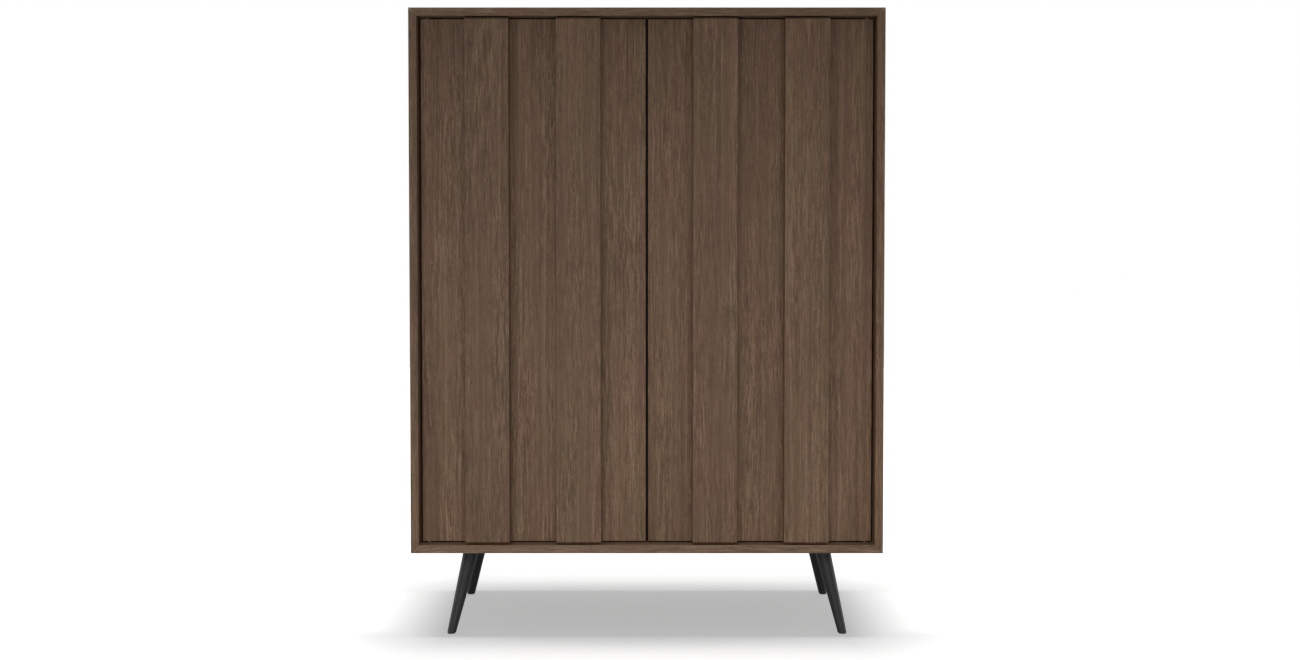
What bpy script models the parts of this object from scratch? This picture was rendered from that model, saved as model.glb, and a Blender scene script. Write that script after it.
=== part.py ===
# Highboard: a tall two-door cabinet with slatted inset doors on four splayed legs.
# Metres, +Z up, the front faces -Y. The origin is on the floor under the middle of the carcass.

import math

import bmesh
import bpy
from mathutils import Matrix, Vector

# Carcass
CABINET_WIDTH = 1.100
CARCASS_HEIGHT = 1.265
CARCASS_DEPTH = 0.450
FLOOR_CLEARANCE = 0.195
BOARD_THICKNESS = 0.019
BOARD_EDGE_RADIUS = 0.0008
PARTITION_THICKNESS = 0.019
PARTITION_SETBACK = 0.020
BACK_THICKNESS = 0.006
BACK_INSET = 0.012
BACK_GROOVE_DEPTH = 0.008

# Clearances
SEAT_GAP = 0.0003
RUNNING_GAP = 0.0002
OVERRUN = 0.002

# Shelves and their pins
SHELVES_PER_BAY = 3
SHELF_THICKNESS = 0.018
SHELF_SIDE_GAP = 0.001
SHELF_SETBACK = 0.020
SHELF_BACK_GAP = 0.002
SHELF_PIN_RADIUS = 0.003
SHELF_PIN_REACH = 0.009
SHELF_PIN_ROOT = 0.006
SHELF_PIN_INSET = 0.037

# Doors
DOOR_THICKNESS = 0.018
DOOR_RECESS = 0.034
DOOR_SIDE_GAP = 0.004
DOOR_CENTRE_GAP = 0.0056
DOOR_END_GAP = 0.003
DOOR_EDGE_RADIUS = 0.0008
SLAT_WIDTH = 0.1035
SLAT_SPACING = 0.109
SLAT_RECESS = 0.001
SLAT_END_CHAMFER = 0.0045
SLAT_EDGE_RADIUS = 0.0010

# Pivot hinges, let into the ends of the doors and into the top and bottom panels
PIVOT_SETBACK = 0.014
PIVOT_PLATE_LENGTH = 0.058
PIVOT_PLATE_WIDTH = 0.014
PIVOT_PLATE_THICKNESS = 0.003
PIVOT_PLATE_NOSE = 0.009
PIVOT_PLATE_CORNER = 0.005
PIVOT_PIN_RADIUS = 0.0035
PIVOT_PIN_REACH = 0.008
PIVOT_PIN_CHAMFER = 0.0008
PIVOT_HEAD_RADIUS = 0.0055
PIVOT_HEAD_THICKNESS = 0.0015
PIVOT_WASHER_RADIUS = 0.0065

# Push latches under the top panel, and the strike plates on the doors
LATCH_OFFSET = 0.046
LATCH_AXIS_DROP = 0.013
LATCH_BODY_WIDTH = 0.016
LATCH_BODY_LENGTH = 0.070
LATCH_BODY_HEIGHT = 0.018
LATCH_BODY_RADIUS = 0.0015
LATCH_FLANGE_WIDTH = 0.030
LATCH_FLANGE_LENGTH = 0.050
LATCH_FLANGE_THICKNESS = 0.002
LATCH_SLOT_RADIUS = 0.0018
LATCH_SLOT_SPACING = 0.023
LATCH_WALL = 0.004
PLUNGER_RADIUS = 0.0042
PLUNGER_COLLAR_RADIUS = 0.0050
PLUNGER_COLLAR_LENGTH = 0.006
PLUNGER_REACH = 0.006
PLUNGER_LENGTH = 0.034
PLUNGER_TRAVEL = 0.0025
PLUNGER_TIP_CHAMFER = 0.0006
SPRING_COIL_RADIUS = 0.0042
SPRING_WIRE_RADIUS = 0.0004
SPRING_TURNS = 8
STRIKE_RADIUS = 0.008
STRIKE_THICKNESS = 0.0015
STRIKE_CHAMFER = 0.0004

# Legs, their bolts, plates and glides
LEG_TOP_RADIUS = 0.0182
LEG_FOOT_RADIUS = 0.0100
LEG_FOOT_SIDE_INSET = 0.090
LEG_FOOT_FRONT_INSET = 0.030
LEG_SIDE_SPLAY_DEGREES = 12.6
LEG_FRONT_SPLAY_DEGREES = 14.0
LEG_PLATE_RADIUS = 0.030
LEG_PLATE_THICKNESS = 0.003
LEG_BOSS_RADIUS = 0.012
LEG_BOSS_HEIGHT = 0.0085
LEG_BOLT_RADIUS = 0.004
LEG_BOLT_IN_LEG = 0.030
LEG_BOLT_IN_PLATE = 0.010
GLIDE_RADIUS = 0.0090
GLIDE_THICKNESS = 0.002
GLIDE_STEM_RADIUS = 0.0025
GLIDE_STEM_LENGTH = 0.009

# Facets
ROUND_STEPS = 24
LEG_STEPS = 40
PIN_STEPS = 12
CORNER_STEPS = 3
SPRING_STEPS = 8
WELD_DISTANCE = 0.00001
SMOOTH_ANGLE = math.radians(35)

# Places worked out from the sizes above
HALF_WIDTH = CABINET_WIDTH / 2
INSIDE_HALF_WIDTH = HALF_WIDTH - BOARD_THICKNESS
FRONT_Y = -CARCASS_DEPTH / 2
BACK_Y = CARCASS_DEPTH / 2
UNDERSIDE_Z = FLOOR_CLEARANCE
TOP_Z = FLOOR_CLEARANCE + CARCASS_HEIGHT
FLOOR_PANEL_Z = UNDERSIDE_Z + BOARD_THICKNESS
CEILING_Z = TOP_Z - BOARD_THICKNESS
MIDDLE_Z = (FLOOR_PANEL_Z + CEILING_Z) / 2

BACK_PANEL_BACK_Y = BACK_Y - BACK_INSET
BACK_PANEL_FRONT_Y = BACK_PANEL_BACK_Y - BACK_THICKNESS

DOOR_FRONT_Y = FRONT_Y + DOOR_RECESS
DOOR_BACK_Y = DOOR_FRONT_Y + DOOR_THICKNESS
DOOR_WIDTH = INSIDE_HALF_WIDTH - DOOR_SIDE_GAP - DOOR_CENTRE_GAP / 2
DOOR_HEIGHT = CEILING_Z - FLOOR_PANEL_Z - 2 * DOOR_END_GAP
DOOR_CENTRE_X = DOOR_CENTRE_GAP / 2 + DOOR_WIDTH / 2
SLAT_THICKNESS = DOOR_RECESS - SLAT_RECESS - SEAT_GAP
SLAT_OFFSET = (SLAT_SPACING + SLAT_WIDTH) / 2

PIVOT_X = INSIDE_HALF_WIDTH - DOOR_SIDE_GAP - PIVOT_SETBACK
PIVOT_Y = DOOR_FRONT_Y + DOOR_THICKNESS / 2

PARTITION_FRONT_Y = DOOR_BACK_Y + PARTITION_SETBACK
SHELF_FRONT_Y = DOOR_BACK_Y + SHELF_SETBACK
SHELF_BACK_Y = BACK_PANEL_FRONT_Y - SHELF_BACK_GAP
BAY_WIDTH = INSIDE_HALF_WIDTH - PARTITION_THICKNESS / 2
BAY_CENTRE_X = (INSIDE_HALF_WIDTH + PARTITION_THICKNESS / 2) / 2
SHELF_CLEAR_HEIGHT = (CEILING_Z - FLOOR_PANEL_Z - SHELVES_PER_BAY * SHELF_THICKNESS) / (SHELVES_PER_BAY + 1)

LATCH_AXIS_Z = CEILING_Z - LATCH_AXIS_DROP
STRIKE_BACK_Y = DOOR_BACK_Y + SEAT_GAP + STRIKE_THICKNESS
PLUNGER_TIP_Y = STRIKE_BACK_Y + SEAT_GAP
LATCH_FRONT_Y = PLUNGER_TIP_Y + PLUNGER_REACH
LATCH_BACK_Y = LATCH_FRONT_Y + LATCH_BODY_LENGTH
LATCH_BORE_RADIUS = PLUNGER_COLLAR_RADIUS + SEAT_GAP
LATCH_BORE_END_Y = LATCH_BACK_Y - LATCH_WALL
PLUNGER_END_Y = PLUNGER_TIP_Y + PLUNGER_LENGTH

SIDES = {"left": -1, "right": 1}
ENDS = {"front": -1, "rear": 1}


def start_empty_scene():
    for thing in list(bpy.data.objects):
        bpy.data.objects.remove(thing, do_unlink=True)


def make_collection(name):
    collection = bpy.data.collections.new(name)
    bpy.context.scene.collection.children.link(collection)
    return collection


def make_material(name, color, roughness, metallic=0.0):
    material = bpy.data.materials.new(name)
    material.use_nodes = True
    shader = material.node_tree.nodes["Principled BSDF"]
    shader.inputs["Base Color"].default_value = (*color, 1.0)
    shader.inputs["Roughness"].default_value = roughness
    shader.inputs["Metallic"].default_value = metallic
    material.diffuse_color = (*color, 1.0)
    return material


start_empty_scene()
PARTS = make_collection("Highboard")
CUTTERS = make_collection("Cutters")
VENEER = make_material("smoked_oak_veneer", (0.105, 0.066, 0.045), 0.55)
INNER_VENEER = make_material("inner_veneer", (0.090, 0.056, 0.038), 0.60)
BACK_VENEER = make_material("back_board", (0.060, 0.040, 0.030), 0.70)
LEG_LACQUER = make_material("charcoal_lacquer", (0.028, 0.029, 0.030), 0.45)
STEEL = make_material("zinc_plated_steel", (0.560, 0.560, 0.550), 0.35, 1.0)
BRASS = make_material("brass", (0.640, 0.450, 0.180), 0.30, 1.0)
DARK_PLASTIC = make_material("dark_plastic", (0.040, 0.040, 0.042), 0.50)
GLIDE_PLASTIC = make_material("glide_plastic", (0.020, 0.020, 0.020), 0.60)


def add_object(name, mesh, material=None, location=(0, 0, 0), rotation=None):
    """A named part with a material, or a wire cutter where no material is given."""
    thing = bpy.data.objects.new(name, mesh)
    thing.location = location
    if rotation is not None:
        thing.rotation_mode = "QUATERNION"
        thing.rotation_quaternion = rotation
    if material is None:
        CUTTERS.objects.link(thing)
        thing.hide_render = True
        thing.display_type = "WIRE"
    else:
        PARTS.objects.link(thing)
        mesh.materials.append(material)
    return thing


def mesh_from(build, name):
    """A new mesh filled by build, which gets an empty bmesh."""
    mesh = bpy.data.meshes.new(name)
    shape = bmesh.new()
    build(shape)
    shape.to_mesh(mesh)
    shape.free()
    mesh.shade_smooth()
    mesh.set_sharp_from_angle(angle=SMOOTH_ANGLE)
    return mesh


def box(name, low, high, material=None):
    """An upright box between two corners, with its origin at its centre."""
    low, high = Vector(low), Vector(high)

    def build(shape):
        bmesh.ops.create_cube(shape, size=1, matrix=Matrix.Diagonal((*(high - low), 1)))

    return add_object(name, mesh_from(build, name), material, (low + high) / 2)


def cylinder(name, radius, low, high, material=None, steps=ROUND_STEPS):
    """A round bar from the point low to the point high."""
    low, high = Vector(low), Vector(high)
    along = high - low

    def build(shape):
        bmesh.ops.create_cone(shape, cap_ends=True, segments=steps, radius1=radius, radius2=radius,
                              depth=along.length)

    turn = Vector((0, 0, 1)).rotation_difference(along)
    return add_object(name, mesh_from(build, name), material, (low + high) / 2, turn)


def rounded_plate(name, low, high, corner, material=None):
    """A box whose four upright edges are rounded, like a plate let into a routed pocket."""
    low, high = Vector(low), Vector(high)

    def build(shape):
        bmesh.ops.create_cube(shape, size=1, matrix=Matrix.Diagonal((*(high - low), 1)))
        upright = [edge for edge in shape.edges if abs(edge.verts[0].co.z - edge.verts[1].co.z) > SEAT_GAP]
        bmesh.ops.bevel(shape, geom=upright, offset=corner, segments=CORNER_STEPS, profile=0.5,
                        affect="EDGES")

    return add_object(name, mesh_from(build, name), material, (low + high) / 2)


def turned(name, profile, material, location, direction, steps=ROUND_STEPS):
    """A turned piece. The profile lists (radius, height) from its top down its outer side."""
    mesh = bpy.data.meshes.new(name)
    points = [(radius, 0, height) for radius, height in profile]
    mesh.from_pydata(points, [(i, i + 1) for i in range(len(points) - 1)], [])
    turn = Vector((0, 0, 1)).rotation_difference(Vector(direction))
    thing = add_object(name, mesh, material, location, turn)
    screw = thing.modifiers.new("Turn", "SCREW")
    screw.steps = steps
    screw.render_steps = steps
    screw.use_merge_vertices = True
    screw.merge_threshold = WELD_DISTANCE
    screw.use_smooth_shade = True
    return thing


def soften(thing, radius, segments=2):
    """Rounds every square edge by a small radius."""
    bevel = thing.modifiers.new("Soft edges", "BEVEL")
    bevel.width = radius
    bevel.segments = segments
    bevel.limit_method = "ANGLE"
    bevel.angle_limit = math.radians(50)
    return thing


def combine(thing, other, operation="DIFFERENCE"):
    boolean = thing.modifiers.new(other.name, "BOOLEAN")
    boolean.operation = operation
    boolean.solver = "EXACT"
    boolean.object = other
    return thing


def hang_on(empty, *things):
    """Parents pieces to the empty on their joint's axis, where they already stand."""
    for thing in things:
        thing.parent = empty
        thing.matrix_parent_inverse = Matrix.Translation(empty.location).inverted()


def joint_empty(name, location):
    empty = bpy.data.objects.new(name, None)
    empty.location = location
    empty.empty_display_size = BOARD_THICKNESS
    PARTS.objects.link(empty)
    return empty


# Carcass


def mitred_board(name, length, turn_degrees, centre, material):
    """A board with sharp mitred ends and rounded long edges. Its inner face is shorter at both ends."""

    def build(shape):
        size = (length, CARCASS_DEPTH, BOARD_THICKNESS)
        bmesh.ops.create_cube(shape, size=1, matrix=Matrix.Diagonal((*size, 1)))
        for vertex in shape.verts:
            if vertex.co.z < 0:
                vertex.co.x -= math.copysign(BOARD_THICKNESS, vertex.co.x)
        long_edges = [edge for edge in shape.edges if edge.calc_length() > CARCASS_DEPTH + BOARD_THICKNESS]
        bmesh.ops.bevel(shape, geom=long_edges, offset=BOARD_EDGE_RADIUS, segments=2, profile=0.5,
                        affect="EDGES")

    turn = Matrix.Rotation(math.radians(turn_degrees), 3, "Y").to_quaternion()
    return add_object(name, mesh_from(build, name), material, centre, turn)


def make_carcass():
    """Top, bottom and sides meet in mitres, and one groove round all four takes the back panel."""
    side_length = CARCASS_HEIGHT - 2 * SEAT_GAP * math.sqrt(2)
    side_x = HALF_WIDTH - BOARD_THICKNESS / 2
    carcass_z = (UNDERSIDE_Z + TOP_Z) / 2
    top = mitred_board("top_panel", CABINET_WIDTH, 0, (0, 0, TOP_Z - BOARD_THICKNESS / 2), VENEER)
    bottom = mitred_board("bottom_panel", CABINET_WIDTH, 180, (0, 0, UNDERSIDE_Z + BOARD_THICKNESS / 2), VENEER)
    left = mitred_board("left_side_panel", side_length, -90, (-side_x, 0, carcass_z), VENEER)
    right = mitred_board("right_side_panel", side_length, 90, (side_x, 0, carcass_z), VENEER)

    reach_x = INSIDE_HALF_WIDTH + BACK_GROOVE_DEPTH
    low_z = FLOOR_PANEL_Z - BACK_GROOVE_DEPTH
    high_z = CEILING_Z + BACK_GROOVE_DEPTH
    box("back_panel", (-reach_x, BACK_PANEL_FRONT_Y, low_z), (reach_x, BACK_PANEL_BACK_Y, high_z), BACK_VENEER)
    groove = box("back_groove_cutter",
                 (-reach_x - SEAT_GAP, BACK_PANEL_FRONT_Y - SEAT_GAP, low_z - SEAT_GAP),
                 (reach_x + SEAT_GAP, BACK_PANEL_BACK_Y + SEAT_GAP, high_z + SEAT_GAP))
    for board in (top, bottom, left, right):
        combine(board, groove)

    half = PARTITION_THICKNESS / 2
    partition = box("centre_partition", (-half, PARTITION_FRONT_Y, FLOOR_PANEL_Z + SEAT_GAP),
                    (half, BACK_PANEL_FRONT_Y - SEAT_GAP, CEILING_Z - SEAT_GAP), INNER_VENEER)
    soften(partition, BOARD_EDGE_RADIUS)
    return top, bottom, left, right, partition


# Shelves


def shelf_underside(index):
    return FLOOR_PANEL_Z + (index + 1) * SHELF_CLEAR_HEIGHT + index * SHELF_THICKNESS


def make_shelves(left_side, right_side, partition):
    """Loose shelves, each on four pins that stand in the side panels and the partition."""
    half = BAY_WIDTH / 2 - SHELF_SIDE_GAP
    for side, sign in SIDES.items():
        for index in range(SHELVES_PER_BAY):
            low_z = shelf_underside(index)
            shelf = box(f"{side}_shelf_{index + 1}",
                        (sign * BAY_CENTRE_X - half, SHELF_FRONT_Y, low_z),
                        (sign * BAY_CENTRE_X + half, SHELF_BACK_Y, low_z + SHELF_THICKNESS), INNER_VENEER)
            soften(shelf, BOARD_EDGE_RADIUS)

    side_reach = (INSIDE_HALF_WIDTH - SHELF_PIN_REACH, INSIDE_HALF_WIDTH + SHELF_PIN_ROOT)
    partition_reach = PARTITION_THICKNESS / 2 + SHELF_PIN_REACH
    for index in range(SHELVES_PER_BAY):
        pin_z = shelf_underside(index) - SEAT_GAP - SHELF_PIN_RADIUS
        for row, pin_y in (("front", SHELF_FRONT_Y + SHELF_PIN_INSET), ("rear", SHELF_BACK_Y - SHELF_PIN_INSET)):
            for side, sign, panel in (("left", -1, left_side), ("right", 1, right_side)):
                pin = cylinder(f"{side}_{row}_shelf_pin_{index + 1}", SHELF_PIN_RADIUS,
                               (sign * side_reach[0], pin_y, pin_z), (sign * side_reach[1], pin_y, pin_z),
                               steps=PIN_STEPS)
                combine(panel, pin, "UNION")
            pin = cylinder(f"partition_{row}_shelf_pin_{index + 1}", SHELF_PIN_RADIUS,
                           (-partition_reach, pin_y, pin_z), (partition_reach, pin_y, pin_z), steps=PIN_STEPS)
            combine(partition, pin, "UNION")


# Doors


def make_slat(name, centre_x):
    """A thick slat whose two ends are chamfered at the front."""
    low = Vector((centre_x - SLAT_WIDTH / 2, FRONT_Y + SLAT_RECESS, MIDDLE_Z - DOOR_HEIGHT / 2))
    high = Vector((centre_x + SLAT_WIDTH / 2, FRONT_Y + SLAT_RECESS + SLAT_THICKNESS,
                   MIDDLE_Z + DOOR_HEIGHT / 2))

    def build(shape):
        bmesh.ops.create_cube(shape, size=1, matrix=Matrix.Diagonal((*(high - low), 1)))
        front_ends = [edge for edge in shape.edges
                      if all(vertex.co.y < 0 for vertex in edge.verts)
                      and abs(edge.verts[0].co.x - edge.verts[1].co.x) > SEAT_GAP]
        bmesh.ops.bevel(shape, geom=front_ends, offset=SLAT_END_CHAMFER, segments=1, affect="EDGES")

    return soften(add_object(name, mesh_from(build, name), VENEER, (low + high) / 2), SLAT_EDGE_RADIUS)


def make_door(side, sign):
    """A flat door leaf behind two raised slats, hung on the empty on its pivot axis."""
    empty = joint_empty(f"{side}_door_axis", (sign * PIVOT_X, PIVOT_Y, MIDDLE_Z))
    centre_x = sign * DOOR_CENTRE_X
    leaf = box(f"{side}_door_panel",
               (centre_x - DOOR_WIDTH / 2, DOOR_FRONT_Y, MIDDLE_Z - DOOR_HEIGHT / 2),
               (centre_x + DOOR_WIDTH / 2, DOOR_BACK_Y, MIDDLE_Z + DOOR_HEIGHT / 2), VENEER)
    soften(leaf, DOOR_EDGE_RADIUS)
    outer = make_slat(f"{side}_door_outer_slat", centre_x + sign * SLAT_OFFSET)
    inner = make_slat(f"{side}_door_inner_slat", centre_x - sign * SLAT_OFFSET)
    hang_on(empty, leaf, outer, inner)
    return empty, leaf


# Pivot hinges


def pivot_frame(side_sign, upper):
    """Places a point given as (towards the cabinet's middle, back, from the panel to the door)."""
    panel_z = CEILING_Z if upper else FLOOR_PANEL_Z
    up = -1 if upper else 1

    def place(inward, back, rise):
        return Vector((side_sign * (PIVOT_X - inward), PIVOT_Y + back, panel_z + up * rise))

    return place


def sorted_corners(first, second):
    low = [min(a, b) for a, b in zip(first, second)]
    high = [max(a, b) for a, b in zip(first, second)]
    return low, high


def pivot_plate(name, place, base, top, grow=0.0, material=None):
    """The plate of one pivot leaf, or the pocket for it, between two heights over the panel."""
    start = -PIVOT_PLATE_NOSE - grow
    end = PIVOT_PLATE_LENGTH - PIVOT_PLATE_NOSE + grow
    half = PIVOT_PLATE_WIDTH / 2 + grow
    low, high = sorted_corners(place(start, -half, base), place(end, half, top))
    return rounded_plate(name, low, high, PIVOT_PLATE_CORNER + grow, material)


def make_pivot(side, sign, end, panel, door_empty, door_leaf):
    """A plate in the panel with a headed pin, a washer, and a plate in the door that turns on the pin."""
    name = f"{side}_{end}_pivot"
    place = pivot_frame(sign, end == "top")
    plate = PIVOT_PLATE_THICKNESS
    door_end = DOOR_END_GAP
    head_top = -plate - SEAT_GAP
    head_base = head_top - PIVOT_HEAD_THICKNESS
    tip = door_end + plate + PIVOT_PIN_REACH
    bore = cylinder(f"{name}_bore", PIVOT_PIN_RADIUS + SEAT_GAP, place(0, 0, head_top - OVERRUN),
                    place(0, 0, door_end - SEAT_GAP))
    running_bore = cylinder(f"{name}_running_bore", PIVOT_PIN_RADIUS + RUNNING_GAP,
                            place(0, 0, door_end - OVERRUN), place(0, 0, door_end + plate + OVERRUN))

    frame_plate = pivot_plate(f"{name}_plate", place, -plate, 0, material=STEEL)
    combine(frame_plate, bore)
    combine(panel, pivot_plate(f"{name}_plate_pocket", place, -plate - SEAT_GAP, OVERRUN, SEAT_GAP))
    combine(panel, cylinder(f"{name}_head_bore", PIVOT_HEAD_RADIUS + SEAT_GAP,
                            place(0, 0, head_base - SEAT_GAP), place(0, 0, OVERRUN)))

    pin_profile = [
        (0, tip),
        (PIVOT_PIN_RADIUS - PIVOT_PIN_CHAMFER, tip),
        (PIVOT_PIN_RADIUS, tip - PIVOT_PIN_CHAMFER),
        (PIVOT_PIN_RADIUS, head_top),
        (PIVOT_HEAD_RADIUS, head_top),
        (PIVOT_HEAD_RADIUS, head_base),
        (0, head_base),
    ]
    towards_door = place(0, 0, tip) - place(0, 0, 0)
    turned(f"{name}_pin", pin_profile, STEEL, place(0, 0, 0), towards_door)

    washer = cylinder(f"{name}_washer", PIVOT_WASHER_RADIUS, place(0, 0, SEAT_GAP),
                      place(0, 0, door_end - SEAT_GAP), BRASS)
    combine(washer, cylinder(f"{name}_washer_bore", PIVOT_PIN_RADIUS + SEAT_GAP,
                             place(0, 0, -OVERRUN), place(0, 0, door_end + OVERRUN)))

    door_plate = pivot_plate(f"{name}_door_plate", place, door_end, door_end + plate, material=STEEL)
    combine(door_plate, running_bore)
    combine(door_leaf, pivot_plate(f"{name}_door_pocket", place, door_end - OVERRUN, door_end + plate + SEAT_GAP,
                                   SEAT_GAP))
    combine(door_leaf, cylinder(f"{name}_tip_bore", PIVOT_PIN_RADIUS + SEAT_GAP,
                                place(0, 0, door_end - OVERRUN), place(0, 0, tip + SEAT_GAP)))
    hang_on(door_empty, door_plate)


# Push latches


def make_latch_housing(side, axis_x):
    """A rounded body under a thin screw flange, with a blind bore for the plunger and its spring."""
    flange_top = CEILING_Z - SEAT_GAP
    flange_low = flange_top - LATCH_FLANGE_THICKNESS
    half_body = LATCH_BODY_WIDTH / 2
    half_flange = LATCH_FLANGE_WIDTH / 2
    middle_y = (LATCH_FRONT_Y + LATCH_BACK_Y) / 2
    body_low = flange_top - LATCH_BODY_HEIGHT - LATCH_FLANGE_THICKNESS
    housing = box(f"{side}_latch_housing", (axis_x - half_body, LATCH_FRONT_Y, body_low),
                  (axis_x + half_body, LATCH_BACK_Y, flange_top), DARK_PLASTIC)
    soften(housing, LATCH_BODY_RADIUS)
    flange = rounded_plate(f"{side}_latch_flange",
                           (axis_x - half_flange, middle_y - LATCH_FLANGE_LENGTH / 2, flange_low),
                           (axis_x + half_flange, middle_y + LATCH_FLANGE_LENGTH / 2, flange_top),
                           LATCH_BODY_RADIUS * 2)
    combine(housing, flange, "UNION")
    for sign in (-1, 1):
        slot_x = axis_x + sign * LATCH_SLOT_SPACING / 2
        combine(housing, cylinder(f"{side}_latch_screw_hole_{sign}", LATCH_SLOT_RADIUS,
                                  (slot_x, middle_y, flange_low - OVERRUN),
                                  (slot_x, middle_y, flange_top + OVERRUN), steps=PIN_STEPS))
    combine(housing, cylinder(f"{side}_latch_bore", LATCH_BORE_RADIUS,
                              (axis_x, LATCH_FRONT_Y - OVERRUN, LATCH_AXIS_Z),
                              (axis_x, LATCH_BORE_END_Y, LATCH_AXIS_Z)))


def make_plunger(side, axis_x):
    """A round plunger with a guide collar at its rear end. Heights run back from the tip."""
    tip = PLUNGER_TIP_CHAMFER
    end = PLUNGER_LENGTH
    collar = end - PLUNGER_COLLAR_LENGTH
    profile = [
        (0, end),
        (PLUNGER_COLLAR_RADIUS, end),
        (PLUNGER_COLLAR_RADIUS, collar),
        (PLUNGER_RADIUS, collar),
        (PLUNGER_RADIUS, tip),
        (PLUNGER_RADIUS - tip, 0),
        (0, 0),
    ]
    plunger = turned(f"{side}_latch_plunger", profile, DARK_PLASTIC, (axis_x, PLUNGER_TIP_Y, LATCH_AXIS_Z),
                     (0, 1, 0))
    hang_on(joint_empty(f"{side}_plunger_axis", (axis_x, PLUNGER_TIP_Y, LATCH_AXIS_Z)), plunger)


def make_spring(side, axis_x):
    """A coil spring at its pressed length, seated on the end of the latch's bore."""
    radius = SPRING_COIL_RADIUS - SPRING_WIRE_RADIUS
    front_y = PLUNGER_END_Y + PLUNGER_TRAVEL + SEAT_GAP + SPRING_WIRE_RADIUS
    back_y = LATCH_BORE_END_Y - SEAT_GAP - SPRING_WIRE_RADIUS
    count = SPRING_TURNS * SPRING_STEPS
    curve = bpy.data.curves.new(f"{side}_latch_spring", "CURVE")
    curve.dimensions = "3D"
    curve.bevel_depth = SPRING_WIRE_RADIUS
    curve.bevel_resolution = 1
    curve.use_fill_caps = True
    spline = curve.splines.new("POLY")
    spline.points.add(count)
    for index, point in enumerate(spline.points):
        turn = 2 * math.pi * index / SPRING_STEPS
        along = front_y + (back_y - front_y) * index / count
        point.co = (axis_x + radius * math.cos(turn), along, LATCH_AXIS_Z + radius * math.sin(turn), 1)
    pitch = (back_y - front_y) / SPRING_TURNS
    print(f"{side} latch spring: least gap between turns {pitch - 2 * SPRING_WIRE_RADIUS:.4f} m")
    add_object(f"{side}_latch_spring", curve, STEEL)


def make_latch(side, sign, door_empty):
    axis_x = sign * LATCH_OFFSET
    make_latch_housing(side, axis_x)
    make_plunger(side, axis_x)
    make_spring(side, axis_x)
    strike_profile = [
        (0, STRIKE_THICKNESS),
        (STRIKE_RADIUS - STRIKE_CHAMFER, STRIKE_THICKNESS),
        (STRIKE_RADIUS, STRIKE_THICKNESS - STRIKE_CHAMFER),
        (STRIKE_RADIUS, 0),
        (0, 0),
    ]
    strike = turned(f"{side}_strike_plate", strike_profile, STEEL,
                    (axis_x, DOOR_BACK_Y + SEAT_GAP, LATCH_AXIS_Z), (0, 1, 0))
    hang_on(door_empty, strike)


# Legs


def make_leg(name, side_sign, end_sign, bottom, leg_zone):
    """A tapered leg that splays out both ways, on a bolt through a flush plate in the bottom panel."""
    foot = Vector((side_sign * (HALF_WIDTH - LEG_FOOT_SIDE_INSET),
                   end_sign * (CARCASS_DEPTH / 2 - LEG_FOOT_FRONT_INSET), 0))
    rise = Vector((-side_sign * math.tan(math.radians(LEG_SIDE_SPLAY_DEGREES)),
                   -end_sign * math.tan(math.radians(LEG_FRONT_SPLAY_DEGREES)), 1))

    def on_axis(height):
        return foot + rise * height

    length = FLOOR_CLEARANCE * rise.length
    widening = (LEG_TOP_RADIUS - LEG_FOOT_RADIUS) / length
    spare = LEG_TOP_RADIUS
    profile = [
        (0, length + spare),
        (LEG_TOP_RADIUS + widening * spare, length + spare),
        (LEG_FOOT_RADIUS - widening * spare, -spare),
        (0, -spare),
    ]
    leg = turned(f"{name}_leg", profile, LEG_LACQUER, foot, rise, LEG_STEPS)
    combine(leg, leg_zone, "INTERSECT")

    bolt_low = UNDERSIDE_Z - LEG_BOLT_IN_LEG
    bolt_high = UNDERSIDE_Z + LEG_BOLT_IN_PLATE
    cylinder(f"{name}_leg_bolt", LEG_BOLT_RADIUS, on_axis(bolt_low), on_axis(bolt_high), STEEL)
    bolt_bore = cylinder(f"{name}_bolt_bore", LEG_BOLT_RADIUS + SEAT_GAP, on_axis(bolt_low - SEAT_GAP),
                         on_axis(bolt_high + BOARD_THICKNESS))
    combine(leg, bolt_bore)

    seat = on_axis(UNDERSIDE_Z)
    rise_of = Vector((0, 0, 1))
    boss_top = LEG_PLATE_THICKNESS + LEG_BOSS_HEIGHT
    plate_profile = [
        (0, boss_top),
        (LEG_BOSS_RADIUS, boss_top),
        (LEG_BOSS_RADIUS, LEG_PLATE_THICKNESS),
        (LEG_PLATE_RADIUS, LEG_PLATE_THICKNESS),
        (LEG_PLATE_RADIUS, 0),
        (0, 0),
    ]
    plate = turned(f"{name}_leg_plate", plate_profile, STEEL, seat, rise_of)
    combine(plate, bolt_bore)
    combine(bottom, cylinder(f"{name}_plate_pocket", LEG_PLATE_RADIUS + SEAT_GAP, seat - rise_of * OVERRUN,
                             seat + rise_of * (LEG_PLATE_THICKNESS + SEAT_GAP)))
    combine(bottom, cylinder(f"{name}_boss_pocket", LEG_BOSS_RADIUS + SEAT_GAP, seat - rise_of * OVERRUN,
                             seat + rise_of * (boss_top + SEAT_GAP)))

    stem_top = GLIDE_THICKNESS + GLIDE_STEM_LENGTH
    glide_profile = [
        (0, stem_top),
        (GLIDE_STEM_RADIUS, stem_top),
        (GLIDE_STEM_RADIUS, GLIDE_THICKNESS),
        (GLIDE_RADIUS, GLIDE_THICKNESS),
        (GLIDE_RADIUS, 0),
        (0, 0),
    ]
    turned(f"{name}_glide", glide_profile, GLIDE_PLASTIC, foot, rise_of)
    combine(leg, cylinder(f"{name}_stem_bore", GLIDE_STEM_RADIUS + SEAT_GAP, foot,
                          foot + rise_of * (stem_top + SEAT_GAP)))


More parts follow.
